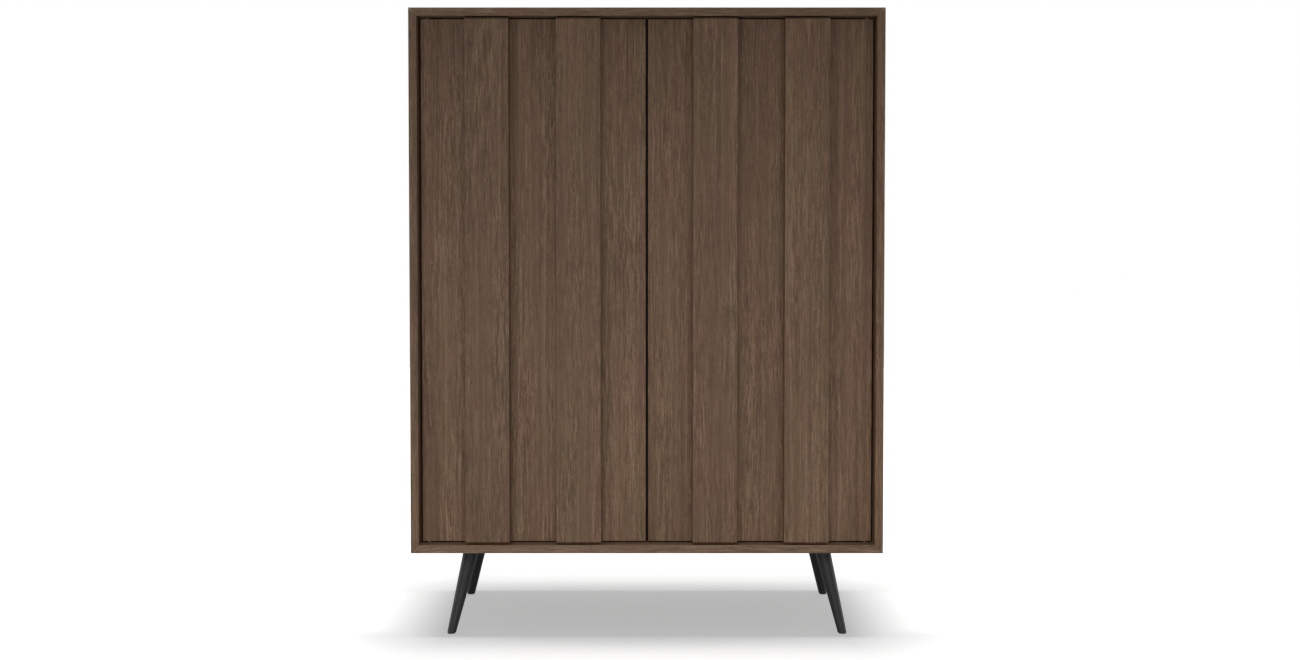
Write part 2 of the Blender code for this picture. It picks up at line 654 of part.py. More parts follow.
def make_legs(bottom):
    low_z = GLIDE_THICKNESS + SEAT_GAP
    high_z = UNDERSIDE_Z - SEAT_GAP
    leg_zone = box("leg_zone", (-HALF_WIDTH, FRONT_Y, low_z), (HALF_WIDTH, BACK_Y, high_z))
    for end, end_sign in ENDS.items():
        for side, side_sign in SIDES.items():
            make_leg(f"{end}_{side}", side_sign, end_sign, bottom, leg_zone)


def build_highboard():
    top, bottom, left_side, right_side, partition = make_carcass()
    make_shelves(left_side, right_side, partition)
    for side, sign in SIDES.items():
        door_empty, door_leaf = make_door(side, sign)
        make_pivot(side, sign, "bottom", bottom, door_empty, door_leaf)
        make_pivot(side, sign, "top", top, door_empty, door_leaf)
        make_latch(side, sign, door_empty)
    make_legs(bottom)
    bpy.context.view_layer.update()
    print(f"highboard: {sum(thing.type != 'EMPTY' for thing in PARTS.objects)} pieces")


build_highboard()
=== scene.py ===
# Highboard in smoked oak: veneer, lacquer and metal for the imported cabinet, its small fittings,
# a plain white studio and the camera of the photograph.
import math

import bpy
import numpy as np
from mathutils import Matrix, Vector


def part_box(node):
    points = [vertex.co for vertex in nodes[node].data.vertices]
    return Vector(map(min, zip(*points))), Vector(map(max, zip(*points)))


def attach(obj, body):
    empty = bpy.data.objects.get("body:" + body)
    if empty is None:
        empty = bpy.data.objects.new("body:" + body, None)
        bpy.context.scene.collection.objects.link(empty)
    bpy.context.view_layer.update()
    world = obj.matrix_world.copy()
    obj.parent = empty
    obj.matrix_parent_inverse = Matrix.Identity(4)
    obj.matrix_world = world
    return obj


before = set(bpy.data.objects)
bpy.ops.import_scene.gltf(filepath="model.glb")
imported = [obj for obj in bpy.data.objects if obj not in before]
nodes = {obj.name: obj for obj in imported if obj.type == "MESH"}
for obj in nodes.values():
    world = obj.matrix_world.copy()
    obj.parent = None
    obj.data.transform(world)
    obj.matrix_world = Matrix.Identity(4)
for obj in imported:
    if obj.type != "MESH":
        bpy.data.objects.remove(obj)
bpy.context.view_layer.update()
scene = bpy.context.scene
print("loaded", len(nodes), "pieces of the cabinet")

# Where the cabinet's faces lie
cabinet = {
    "width": 1.100,
    "depth": 0.450,
    "board": 0.019,
    "edgeBand": 0.0012,  # thickness of the solid strip along the front edges
}
insideX = cabinet["width"] / 2 - cabinet["board"]
frontY = -cabinet["depth"] / 2

camera = {
    "focal": 1492.8,  # in pixels of the 1300 wide picture
    "principal": (646.9, 287.3),
    "place": (0.0, -3.6805, 0.9288),
    "pitch": 1.882,  # degrees below level
    "clip": (0.05, 60),
}
picture = {"width": 1300, "height": 660, "sensor": 36.0}


def addCamera():
    data = bpy.data.cameras.new("camera")
    data.sensor_fit = "HORIZONTAL"
    data.sensor_width = picture["sensor"]
    data.lens = camera["focal"] * picture["sensor"] / picture["width"]
    data.shift_x = (picture["width"] / 2 - camera["principal"][0]) / picture["width"]
    data.shift_y = (camera["principal"][1] - picture["height"] / 2) / picture["width"]
    data.clip_start, data.clip_end = camera["clip"]
    cam = bpy.data.objects.new("camera", data)
    scene.collection.objects.link(cam)
    cam.location = camera["place"]
    cam.rotation_euler = (math.radians(90 - camera["pitch"]), 0, 0)
    scene.camera = cam


addCamera()
print("camera placed")


# Gives a node its inputs, which are values or other nodes' sockets
def feed(tree, node, inputs):
    for key, value in inputs.items():
        if isinstance(value, bpy.types.NodeSocket):
            tree.links.new(value, node.inputs[key])
        else:
            node.inputs[key].default_value = value
    return node


def addNode(tree, kind, inputs, **settings):
    node = tree.nodes.new(kind)
    for key, value in settings.items():
        setattr(node, key, value)
    return feed(tree, node, inputs)


def calc(tree, operation, a, b=0.0, c=0.0):
    return addNode(tree, "ShaderNodeMath", {0: a, 1: b, 2: c}, operation=operation).outputs[0]


def remap(tree, value, low, high, toLow=0.0, toHigh=1.0):
    node = addNode(tree, "ShaderNodeMapRange", {0: value, 1: low, 2: high, 3: toLow, 4: toHigh})
    return node.outputs[0]


def blendColor(tree, amount, a, b, mode="MIX"):
    return addNode(tree, "ShaderNodeMix", {0: amount, 6: a, 7: b},
                   data_type="RGBA", blend_type=mode).outputs[2]


def stretched(tree, vector, scale):
    node = addNode(tree, "ShaderNodeVectorMath", {0: vector, 1: scale}, operation="MULTIPLY")
    return node.outputs[0]


def dimmed(tree, color, shade):
    node = addNode(tree, "ShaderNodeVectorMath", {0: color, "Scale": shade}, operation="SCALE")
    return node.outputs[0]


# Noise with the given waves per metre along X, Y and Z
def noise(tree, vector, waves, detail=2.0, roughness=0.5, output="Fac"):
    node = addNode(tree, "ShaderNodeTexNoise",
                   {"Vector": stretched(tree, vector, waves), "Scale": 1.0, "Detail": detail,
                    "Roughness": roughness})
    return node.outputs[output]


# An empty node group with its named sockets
def newGroup(name, inputs, outputs):
    tree = bpy.data.node_groups.new(name, "ShaderNodeTree")
    for label, kind, value in inputs:
        socket = tree.interface.new_socket(label, in_out="INPUT", socket_type="NodeSocket" + kind)
        if value is not None:
            socket.default_value = value
    for label, kind in outputs:
        tree.interface.new_socket(label, in_out="OUTPUT", socket_type="NodeSocket" + kind)
    return tree, tree.nodes.new("NodeGroupInput"), tree.nodes.new("NodeGroupOutput")


def useGroup(tree, group, inputs):
    node = tree.nodes.new("ShaderNodeGroup")
    node.node_tree = group
    return feed(tree, node, inputs)


def newMaterial(name, roughness, metallic=0.0, specular=0.5):
    material = bpy.data.materials.new(name)
    material.use_nodes = True
    shader = material.node_tree.nodes["Principled BSDF"]
    shader.inputs["Roughness"].default_value = roughness
    shader.inputs["Metallic"].default_value = metallic
    shader.inputs["Specular IOR Level"].default_value = specular
    return material, material.node_tree, shader


def addBump(tree, shader, height, distance):
    bump = addNode(tree, "ShaderNodeBump", {"Height": height, "Distance": distance})
    tree.links.new(bump.outputs[0], shader.inputs["Normal"])


def objectPoint(tree, location=(0, 0, 0), rotation=(0, 0, 0)):
    coords = tree.nodes.new("ShaderNodeTexCoord")
    mapping = addNode(tree, "ShaderNodeMapping",
                      {"Vector": coords.outputs["Object"], "Location": location, "Rotation": rotation})
    return coords.outputs["Object"], mapping.outputs[0]


oakGrainValues = {
    "bend": (0.012, (2.4, 2.4, 1.5)),  # slow wandering of the fibres: reach in metres, waves per metre
    "ripple": (0.0024, (30.0, 30.0, 14.0)),  # short wandering
    # From here on waves per metre across, across and along the fibres, then each wave's weight
    "patch": ((5.0, 5.0, 2.4), 0.3),
    "broad": ((24.0, 24.0, 1.1), 0.45),
    "ring": ((105.0, 105.0, 0.7), 0.95),  # long narrow stripes of the yearly growth
    "fleck": ((330.0, 330.0, 120.0), 0.6),
    "streak": ((250.0, 250.0, 13.5), 1.5),
    "fibre": ((640.0, 640.0, 28.0), 1.3),
    "pore": ((1300.0, 1300.0, 60.0), 0.45),
    "hairline": ((430.0, 430.0, 13.0), 0.65),
    "cluster": (24.0, 24.0, 2.4),  # where the lines stand out and the hairlines gather
    "hue": (16.0, 16.0, 3.5),
    "lineRange": (0.33, 0.67, 0.40, 1.45),  # cluster from and to, and how much the lines show there
    "paleRange": (0.38, 0.62, 0.15, 1.0),  # the same for the hairlines
    "poreEdge": (0.60, 0.70),
    "hairlineEdge": (0.60, 0.72),
    "hueEdge": (0.35, 0.65),
    "greenTint": (0.965, 1.012, 0.955, 1),
    "redTint": (1.04, 0.985, 1.02, 1),
    "relief": (0.5, 0.3, 0.5),  # how far streaks and fibres stand up, and pores go down
}


# Open-grained veneer whose fibres run along local Z: tone bands, streaks, pores and pale hairlines
def makeOakGrain():
    tree, src, dst = newGroup("oakGrain", [
        ("Vector", "Vector", None),
        ("Dark", "Color", (0.07, 0.04, 0.03, 1)),
        ("Middle", "Color", (0.11, 0.07, 0.05, 1)),
        ("Light", "Color", (0.18, 0.12, 0.08, 1)),
        ("Streaks", "Float", 1.0),
        ("Figure", "Float", 1.0),
        ("Pores", "Float", 1.0),
        ("Hairlines", "Float", 1.0),
    ], [("Color", "Color"), ("Height", "Float")])
    v = oakGrainValues
    straight = src.outputs["Vector"]
    point = straight
    for reach, waves in (v["bend"], v["ripple"]):
        wander = noise(tree, straight, waves, 1.0, output="Color")
        point = addNode(tree, "ShaderNodeVectorMath", {0: wander, 1: (reach, reach, 0), 2: point},
                        operation="MULTIPLY_ADD").outputs[0]
    patch = noise(tree, straight, v["patch"][0], 1.0)
    cluster = noise(tree, straight, v["cluster"], 1.0)
    hue = noise(tree, straight, v["hue"], 2.0)
    broad = noise(tree, point, v["broad"][0], 3.0, 0.55)
    ring = noise(tree, point, v["ring"][0])
    fleck = noise(tree, point, v["fleck"][0], 1.0)
    streak = noise(tree, point, v["streak"][0], 3.0, 0.6)
    fibre = noise(tree, point, v["fibre"][0])
    pore = noise(tree, point, v["pore"][0], 1.0)
    hairline = noise(tree, point, v["hairline"][0])

    # Sum of each wave's distance from its middle, times its weight
    def weighted(*waves):
        total = 0.0
        for wave, name in waves:
            total = calc(tree, "MULTIPLY_ADD", calc(tree, "SUBTRACT", wave, 0.5), v[name][1], total)
        return total

    figure = weighted((patch, "patch"), (broad, "broad"), (ring, "ring"))
    lines = weighted((fleck, "fleck"), (streak, "streak"), (fibre, "fibre"))
    lines = calc(tree, "MULTIPLY", lines, remap(tree, cluster, *v["lineRange"]))
    tone = calc(tree, "MULTIPLY_ADD", figure, src.outputs["Figure"], 0.5)
    tone = calc(tree, "MULTIPLY_ADD", lines, src.outputs["Streaks"], tone)
    low = blendColor(tree, remap(tree, tone, 0.0, 0.5), src.outputs["Dark"], src.outputs["Middle"])
    color = blendColor(tree, remap(tree, tone, 0.5, 1.0), low, src.outputs["Light"])

    tint = blendColor(tree, remap(tree, hue, *v["hueEdge"]), v["greenTint"], v["redTint"])
    color = blendColor(tree, 1.0, color, tint, "MULTIPLY")
    pores = calc(tree, "MULTIPLY", remap(tree, pore, *v["poreEdge"]), src.outputs["Pores"])
    color = blendColor(tree, calc(tree, "MULTIPLY", pores, v["pore"][1]), color, src.outputs["Dark"],
                       "MULTIPLY")
    pale = calc(tree, "MULTIPLY", remap(tree, hairline, *v["hairlineEdge"]),
                remap(tree, cluster, *v["paleRange"]))
    pale = calc(tree, "MULTIPLY", pale, src.outputs["Hairlines"])
    pale = calc(tree, "MULTIPLY", pale, v["hairline"][1])
    color = blendColor(tree, pale, color, src.outputs["Light"])

    streakRise, fibreRise, poreDrop = v["relief"]
    height = calc(tree, "MULTIPLY_ADD", streak, streakRise, calc(tree, "MULTIPLY", fibre, fibreRise))
    height = calc(tree, "SUBTRACT", height, calc(tree, "MULTIPLY", pores, poreDrop))
    tree.links.new(color, dst.inputs["Color"])
    tree.links.new(height, dst.inputs["Height"])
    return tree


brushedValues = {
    "scratch": (60, 2600, 2600),  # waves per metre
    "cloud": (90, 90, 90),
    "scratchShade": (0.25, 0.75, 0.86, 1.04),  # noise from and to, and the shade there
    "cloudShade": (0.3, 0.7, -0.08, 0.05),
    "scratchRough": (0.2, 0.8, -0.07, 0.09),
    "cloudRough": (0.3, 0.7, -0.03, 0.07),
}


# Fine parallel scratches along local X and soft blotches, for drawn and plated metal
def makeBrushed():
    tree, src, dst = newGroup("brushedMetal", [
        ("Vector", "Vector", None),
        ("Base", "Color", (0.56, 0.56, 0.55, 1)),
        ("Roughness", "Float", 0.35),
    ], [("Color", "Color"), ("Roughness", "Float"), ("Height", "Float")])
    v = brushedValues
    scratch = noise(tree, src.outputs["Vector"], v["scratch"], 2.0, 0.6)
    cloud = noise(tree, src.outputs["Vector"], v["cloud"], 3.0, 0.6)
    shade = calc(tree, "ADD", remap(tree, scratch, *v["scratchShade"]),
                 remap(tree, cloud, *v["cloudShade"]))
    tree.links.new(dimmed(tree, src.outputs["Base"], shade), dst.inputs["Color"])
    rough = calc(tree, "ADD", src.outputs["Roughness"], remap(tree, scratch, *v["scratchRough"]))
    rough = calc(tree, "ADD", rough, remap(tree, cloud, *v["cloudRough"]))
    tree.links.new(rough, dst.inputs["Roughness"])
    tree.links.new(scratch, dst.inputs["Height"])
    return tree


mouldedValues = {
    "grain": (2400, 2400, 2400),  # waves per metre
    "cloud": (55, 55, 55),
    "grainShade": (0.3, 0.7, 0.92, 1.08),
    "cloudShade": (0.3, 0.7, -0.06, 0.10),
}


# The fine eroded grain of moulded plastic, with faint tone clouds
def makeMoulded():
    tree, src, dst = newGroup("mouldedPlastic", [
        ("Vector", "Vector", None),
        ("Base", "Color", (0.04, 0.04, 0.042, 1)),
    ], [("Color", "Color"), ("Height", "Float"), ("Wear", "Float")])
    v = mouldedValues
    grain = noise(tree, src.outputs["Vector"], v["grain"], 2.0, 0.6)
    cloud = noise(tree, src.outputs["Vector"], v["cloud"])
    shade = calc(tree, "ADD", remap(tree, grain, *v["grainShade"]),
                 remap(tree, cloud, *v["cloudShade"]))
    tree.links.new(dimmed(tree, src.outputs["Base"], shade), dst.inputs["Color"])
    tree.links.new(grain, dst.inputs["Height"])
    tree.links.new(cloud, dst.inputs["Wear"])
    return tree


oakGrain = makeOakGrain()
brushed = makeBrushed()
moulded = makeMoulded()
print("effects made: oak grain, brushed metal, moulded plastic")

veneer = {
    "dark": (0.050, 0.0255, 0.0118),
    "middle": (0.089, 0.0497, 0.0258),
    "light": (0.152, 0.0955, 0.057),
    "roughness": 0.55,
    "specular": 0.22,
    "relief": 0.00022,
    # Painted shade: a near black laid on the partition's front edge, standing for the shade in the gap
    # between the doors
    "paintedGapShade": (0.0085, 0.0030, 0.0008),
    "steel": (0.55, 0.55, 0.54),  # the shelf pins that stand in the boards
    "steelSmoother": -0.24,  # added to the roughness on the pins
    "pinStart": 0.0004,  # how far off the board's face a pin counts as metal
    "seedStep": (0.37, 0.91, 1.73),  # metres between the sheets of two seeds
    "heightRange": (0.0, 0.8),
    "roughRange": (0.10, -0.05),  # added in the pores and on the fibres
    "jointWidth": (0.00012, 0.00030),  # full out to the first, gone at the second
    "jointStrength": 0.6,
    "paintedShadeReach": 0.0009,  # behind the partition's front
    "paintedShadeFade": 0.0002,  # over which the painted shade fades
}
alongX = (0, math.radians(90), 0)
alongZ = (0, 0, 0)


# A linear colour times a tone, pushed towards its own grey by grey. Warmth lifts red and lowers green
# and blue by 0.3 and 0.6 of it.
def shaded(color, tone, warmth=0.0, grey=0.0):
    r, g, b = color
    middle = (r + g + b) / 3
    r, g, b = ((1 - grey) * value + grey * middle for value in (r, g, b))
    return (r * tone * (1 + warmth), g * tone * (1 - 0.3 * warmth), b * tone * (1 - 0.6 * warmth), 1)


# One sheet of smoked oak. band draws the joint of the front edge strip, pins makes the shelf pins
# metal, and the last argument gives the y in front of which an edge is painted near black: painted
# shade that keeps the gap between the doors dark
def oakMaterial(name, seed, turn=alongZ, tone=1.0, warmth=0.0, grey=0.0, streaks=1.0, figure=1.0,
                band=False, pins=None, paintedShadeEdge=None):
    material, tree, shader = newMaterial(name, veneer["roughness"], specular=veneer["specular"])
    shift = tuple(step * seed for step in veneer["seedStep"])
    point, local = objectPoint(tree, shift, turn)
    grain = useGroup(tree, oakGrain, {
        "Vector": local,
        "Dark": shaded(veneer["dark"], tone, warmth, grey),
        "Middle": shaded(veneer["middle"], tone, warmth, grey),
        "Light": shaded(veneer["light"], tone, warmth, grey),
        "Streaks": streaks,
        "Figure": figure,
    })
    color = grain.outputs["Color"]
    rough = remap(tree, grain.outputs["Height"], *veneer["heightRange"],
                  *(veneer["roughness"] + change for change in veneer["roughRange"]))
    axes = addNode(tree, "ShaderNodeSeparateXYZ", {0: point}).outputs
    if band:
        offset = calc(tree, "SUBTRACT", axes["Y"], frontY + cabinet["edgeBand"])
        seam = remap(tree, calc(tree, "ABSOLUTE", offset), *veneer["jointWidth"],
                     veneer["jointStrength"], 0.0)
        color = blendColor(tree, seam, color, shaded(veneer["dark"], 0.5 * tone))
    # Painted shade on the partition's front edge, so that the gap between the doors reads dark
    if paintedShadeEdge is not None:
        paintedShade = remap(tree, axes["Y"], paintedShadeEdge, paintedShadeEdge + veneer["paintedShadeFade"], 1.0, 0.0)
        color = blendColor(tree, paintedShade, color, (*veneer["paintedGapShade"], 1))
    if pins:
        side = calc(tree, "ABSOLUTE", axes["X"])
        metal = calc(tree, pins[0], side, pins[1])
        color = blendColor(tree, metal, color, (*veneer["steel"], 1))
        rough = calc(tree, "MULTIPLY_ADD", metal, veneer["steelSmoother"], rough)
        tree.links.new(metal, shader.inputs["Metallic"])
    tree.links.new(color, shader.inputs["Base Color"])
    tree.links.new(rough, shader.inputs["Roughness"])
    addBump(tree, shader, grain.outputs["Height"], veneer["relief"])
    return material


def dress(material, name):
    slots = nodes[name].data.materials
    slots.clear()
    slots.append(material)


insidePins = ("LESS_THAN", insideX - veneer["pinStart"])
partitionPins = ("GREATER_THAN", cabinet["board"] / 2 + veneer["pinStart"])
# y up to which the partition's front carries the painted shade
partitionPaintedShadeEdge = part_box("centre_partition")[0][1] + veneer["paintedShadeReach"]

# Each board's material name, seed and own settings. The tones differ from board to board partly as
# veneer sheets do and partly as painted light, evening out how the lamps light the top board and the
# left and right halves of the front.
boards = {
    "top_panel": ("veneerTop", 1, {"turn": alongX, "tone": 1.23, "grey": 0.10, "band": True}),
    "bottom_panel": ("veneerBottom", 2, {"turn": alongX, "tone": 1.08, "grey": 0.13, "band": True}),
    "left_side_panel": ("veneerLeftSide", 67, {"tone": 0.91, "band": True, "pins": insidePins}),
    "right_side_panel": ("veneerRightSide", 34, {"tone": 1.04, "band": True, "pins": insidePins}),
    "left_door_panel": ("veneerLeftDoor", 29, {"tone": 1.00, "warmth": 0.01}),
    "right_door_panel": ("veneerRightDoor", 46, {"tone": 0.97, "warmth": 0.02}),
    "left_door_outer_slat": ("veneerSlatA", 7, {"tone": 0.91}),
    "left_door_inner_slat": ("veneerSlatB", 8, {"tone": 0.94}),
    "right_door_inner_slat": ("veneerSlatC", 9, {"tone": 0.96}),
    "right_door_outer_slat": ("veneerSlatD", 10, {"tone": 1.01}),
    "centre_partition": ("veneerPartition", 11,
                         {"tone": 0.92, "pins": partitionPins, "paintedShadeEdge": partitionPaintedShadeEdge}),
    "back_panel": ("backBoard", 18, {"tone": 0.75, "streaks": 0.6, "figure": 0.7}),
}
for index in (1, 2, 3):
    for side, firstSeed in (("left", 11), ("right", 14)):
        boards[f"{side}_shelf_{index}"] = (f"veneer{side.title()}Shelf{index}", firstSeed + index,
                                           {"turn": alongX, "tone": 0.92})
for board, (name, seed, settings) in boards.items():
    dress(oakMaterial(name, seed, **settings), board)
print("veneer laid on the carcass, the doors and the shelves")

legFinish = {
    "dark": (0.0075, 0.0077, 0.0080),
    "middle": (0.0118, 0.0120, 0.0123),
    "light": (0.019, 0.0195, 0.020),
    "roughness": 0.50,
    "specular": 0.15,
    "relief": 0.00010,
    "roughRange": (0.08, -0.05),
    "grain": {"Streaks": 0.5, "Figure": 0.5, "Pores": 0.6, "Hairlines": 0.2},
    "shift": (0.2, 0.3),  # metres between the grain of two legs
    "sideSplay": 12.6,
    "frontSplay": 14.0,
}


# Charcoal lacquer over turned oak: the grain follows the leg's slant and shows only faintly
def legMaterial(name, side, end):
    material, tree, shader = newMaterial(name, legFinish["roughness"], specular=legFinish["specular"])
    axis = Vector((-side * math.tan(math.radians(legFinish["sideSplay"])),
                   -end * math.tan(math.radians(legFinish["frontSplay"])), 1))
    turn = axis.rotation_difference(Vector((0, 0, 1))).to_euler()
    shiftX, shiftY = legFinish["shift"]
    local = objectPoint(tree, (shiftX * side, shiftY * end, 0), tuple(turn))[1]
    grain = useGroup(tree, oakGrain, {
        "Vector": local,
        "Dark": (*legFinish["dark"], 1),
        "Middle": (*legFinish["middle"], 1),
        "Light": (*legFinish["light"], 1),
        **legFinish["grain"],
    })
    rough = remap(tree, grain.outputs["Height"], *veneer["heightRange"],
                  *(legFinish["roughness"] + change for change in legFinish["roughRange"]))
    tree.links.new(grain.outputs["Color"], shader.inputs["Base Color"])
    tree.links.new(rough, shader.inputs["Roughness"])
    addBump(tree, shader, grain.outputs["Height"], legFinish["relief"])
    return material


for end, endSign in (("front", -1), ("rear", 1)):
    for side, sideSign in (("left", -1), ("right", 1)):
        dress(legMaterial(f"{end}{side.title()}Lacquer", sideSign, endSign), f"{end}_{side}_leg")
print("legs lacquered")

metals = {
    "zincPlate": {"base": (0.58, 0.58, 0.57), "roughness": 0.34},
    "turnedSteel": {"base": (0.52, 0.52, 0.51), "roughness": 0.28},
    "springWire": {"base": (0.42, 0.42, 0.43), "roughness": 0.25},
    "blackenedSteel": {"base": (0.060, 0.060, 0.062), "roughness": 0.42},
    "darkBrass": {"base": (0.115, 0.082, 0.040), "roughness": 0.40},
}
metalRelief = 0.00001
plastics = {
    "latchPlastic": {"base": (0.035, 0.035, 0.037), "roughness": 0.46, "relief": 0.00005},
    "plungerPlastic": {"base": (0.060, 0.060, 0.062), "roughness": 0.38, "relief": 0.00002},
    "glidePlastic": {"base": (0.018, 0.018, 0.018), "roughness": 0.58, "relief": 0.00006},
}
plasticWear = (0.3, 0.7, -0.04, 0.06)  # tone clouds from and to, and the roughness they add


def metalMaterial(name):
    values = metals[name]
    material, tree, shader = newMaterial(name, values["roughness"], 1.0)
    local = objectPoint(tree)[1]
    finish = useGroup(tree, brushed, {"Vector": local, "Base": (*values["base"], 1),
                                      "Roughness": values["roughness"]})
    tree.links.new(finish.outputs["Color"], shader.inputs["Base Color"])
    tree.links.new(finish.outputs["Roughness"], shader.inputs["Roughness"])
    addBump(tree, shader, finish.outputs["Height"], metalRelief)
    return material


def plasticMaterial(name):
    values = plastics[name]
    material, tree, shader = newMaterial(name, values["roughness"])
    local = objectPoint(tree)[1]
    finish = useGroup(tree, moulded, {"Vector": local, "Base": (*values["base"], 1)})
    tree.links.new(finish.outputs["Color"], shader.inputs["Base Color"])
    start, end, less, more = plasticWear
    rough = remap(tree, finish.outputs["Wear"], start, end,
                  values["roughness"] + less, values["roughness"] + more)
    tree.links.new(rough, shader.inputs["Roughness"])
    addBump(tree, shader, finish.outputs["Height"], values["relief"])
    return material


finishes = {name: metalMaterial(name) for name in metals}
finishes.update({name: plasticMaterial(name) for name in plastics})
finishByEnding = {
    "washer": "darkBrass",
    "plate": "zincPlate",
    "bolt": "turnedSteel",
    "spring": "springWire",
    "housing": "latchPlastic",
    "plunger": "plungerPlastic",
    "glide": "glidePlastic",
}
for name in nodes:
    ending = name.split("_")[-1]
    if "pivot" in name and ending != "washer":
        dress(finishes["blackenedSteel"], name)
    elif ending in finishByEnding:
        dress(finishes[finishByEnding[ending]], name)
print("fittings finished")

# Screw heads and pin collars, profiles turned round an axis. Sizes and places are in metres, in the
# cabinet's own frame.
fittings = {
    "plateScrew": 0.0029,  # head radius of each kind of screw
    "strikeScrew": 0.0032,
    "latchScrew": 0.0026,
    "legScrew": 0.0033,
    "latchScrewProud": 0.0006,
    "screwDome": 0.0007,
    "rimDrop": 0.0002,
    "recessReach": 0.62,  # of the head's radius
    "recessWidth": 0.17,
    "recessWall": (1.25, 0.5, 0.12),  # start and width of the arm's side wall, width of its end wall
    "recessDepth": 0.0011,
    "innerRing": 0.06,
    "headSteps": 40,
    "headRings": 14,
    "collarHole": 0.0031,
    "collarFlat": 0.0038,
    "collarRadius": 0.0048,
    "collarHeight": 0.0009,
    "collarSteps": 36,
    "collarBends": 7,
    "plateScrewX": (0.468, 0.490),  # on the pivot plates
    "latchScrewReach": 0.0115,
    "latchScrewY": -0.1299,
    "latchFlange": 0.002,
    "legScrewRing": 0.0235,
    "legScrewTurns": (45, 135, 225, 315),
    "shelfPinY": (-0.116, 0.168),
    "shelfPinZ": (0.50395, 0.8152, 1.12645),
}


# Unit vectors u, v that stand square on the axis w and on each other
def axisFrame(axis):
    w = np.array(axis, float) / np.linalg.norm(axis)
    helper = np.array((0.0, 0.0, 1.0)) if abs(w[2]) < 0.9 else np.array((1.0, 0.0, 0.0))
    u = np.cross(helper, w)
    u /= np.linalg.norm(u)
    return u, np.cross(w, u), w


# Copies a grid of rings round an axis to each place. Point = place + x u + y v + h w, with x, y and h
# given for every ring and step. closeTop puts one pole point inside the first ring.
def turnedPiece(name, body, material, x, y, h, places, closeTop):
    rings, steps = x.shape
    ring, step = np.meshgrid(np.arange(rings - 1), np.arange(steps), indexing="ij")
    a = ring * steps + step
    b = ring * steps + (step + 1) % steps
    quads = np.stack([a, a + steps, b + steps, b], axis=-1).reshape(-1, 4)
    local = np.stack([x, y, h], axis=-1).reshape(-1, 3)
    if closeTop:
        local = np.concatenate([local, [(0.0, 0.0, h[0].mean())]])
    points = np.concatenate([np.array(place) + local @ np.array(axisFrame(axis))
                             for place, axis in places])
    shift = np.arange(len(places))[:, None, None] * len(local)
    faces = (quads[None] + shift).reshape(-1, 4).tolist()
    if closeTop:
        around = np.arange(steps)
        cap = np.stack([np.full(steps, rings * steps), around, (around + 1) % steps], axis=-1)
        faces += (cap[None] + shift).reshape(-1, 3).tolist()
    mesh = bpy.data.meshes.new(name)
    mesh.from_pydata(points.tolist(), [], faces)
    mesh.polygons.foreach_set("use_smooth", np.ones(len(faces), bool))
    mesh.materials.append(material)
    piece = bpy.data.objects.new(name, mesh)
    scene.collection.objects.link(piece)
    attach(piece, body)


# A screw head with a cross recess. Height = dome (1 - r^2), less the recess depth where the point lies
# in either arm of the cross; the arm's wall is a smooth step. proud lifts the rim off the face.
def screwHeads(name, body, places, radius, proud=0.0):
    f = fittings
    wallStart, wallWidth, endWidth = f["recessWall"]
    r, turn = np.meshgrid(np.linspace(f["innerRing"], 1.0, f["headRings"]),
                          np.linspace(0, 2 * np.pi, f["headSteps"], False), indexing="ij")
    x, y = r * np.cos(turn), r * np.sin(turn)
    arm = np.minimum(np.abs(x), np.abs(y)) / f["recessWidth"]
    inside = (np.clip((wallStart - arm) / wallWidth, 0, 1)
              * np.clip((f["recessReach"] - r) / endWidth, 0, 1))
    h = proud + f["screwDome"] * (1 - r ** 2) - f["recessDepth"] * inside
    x = np.concatenate([x * radius, x[-1:] * radius])
    y = np.concatenate([y * radius, y[-1:] * radius])
    h = np.concatenate([h, np.full((1, f["headSteps"]), -f["rimDrop"])])
    turnedPiece(name, body, finishes["turnedSteel"], x, y, h, places, closeTop=True)


# A collar round a shelf pin: a flat ring with a rounded rim. Radius and height follow a quarter ellipse
# from the flat outwards and down to the board.
def pinCollars(name, places):
    f = fittings
    bend = np.linspace(0, np.pi / 2, f["collarBends"])
    rim = f["collarFlat"] + (f["collarRadius"] - f["collarFlat"]) * np.sin(bend)
    radius = np.concatenate([[f["collarHole"]], rim])
    height = np.concatenate([[f["collarHeight"]], f["collarHeight"] * np.cos(bend)])
    turn = np.linspace(0, 2 * np.pi, f["collarSteps"], False)
    x = radius[:, None] * np.cos(turn)[None]
    y = radius[:, None] * np.sin(turn)[None]
    h = np.broadcast_to(height[:, None], x.shape)
    turnedPiece(name, "cabinet", finishes["zincPlate"], x, y, h, places, closeTop=False)


# Screws on the door side and the frame side of both hinges of one door
def pivotScrews(side, sign):
    low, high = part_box(f"{side}_bottom_pivot_plate")
    y = (low[1] + high[1]) / 2
    floorZ, ceilingZ = high[2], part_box(f"{side}_top_pivot_plate")[0][2]
    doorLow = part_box(f"{side}_bottom_pivot_door_plate")[0][2]
    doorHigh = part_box(f"{side}_top_pivot_door_plate")[1][2]
    onFrame, onDoor = [], []
    for x in fittings["plateScrewX"]:
        onFrame += [((sign * x, y, floorZ), up), ((sign * x, y, ceilingZ), down)]
        onDoor += [((sign * x, y, doorLow), down), ((sign * x, y, doorHigh), up)]
    return onFrame, onDoor


up, down, back, left, right = (0, 0, 1), (0, 0, -1), (0, 1, 0), (-1, 0, 0), (1, 0, 0)


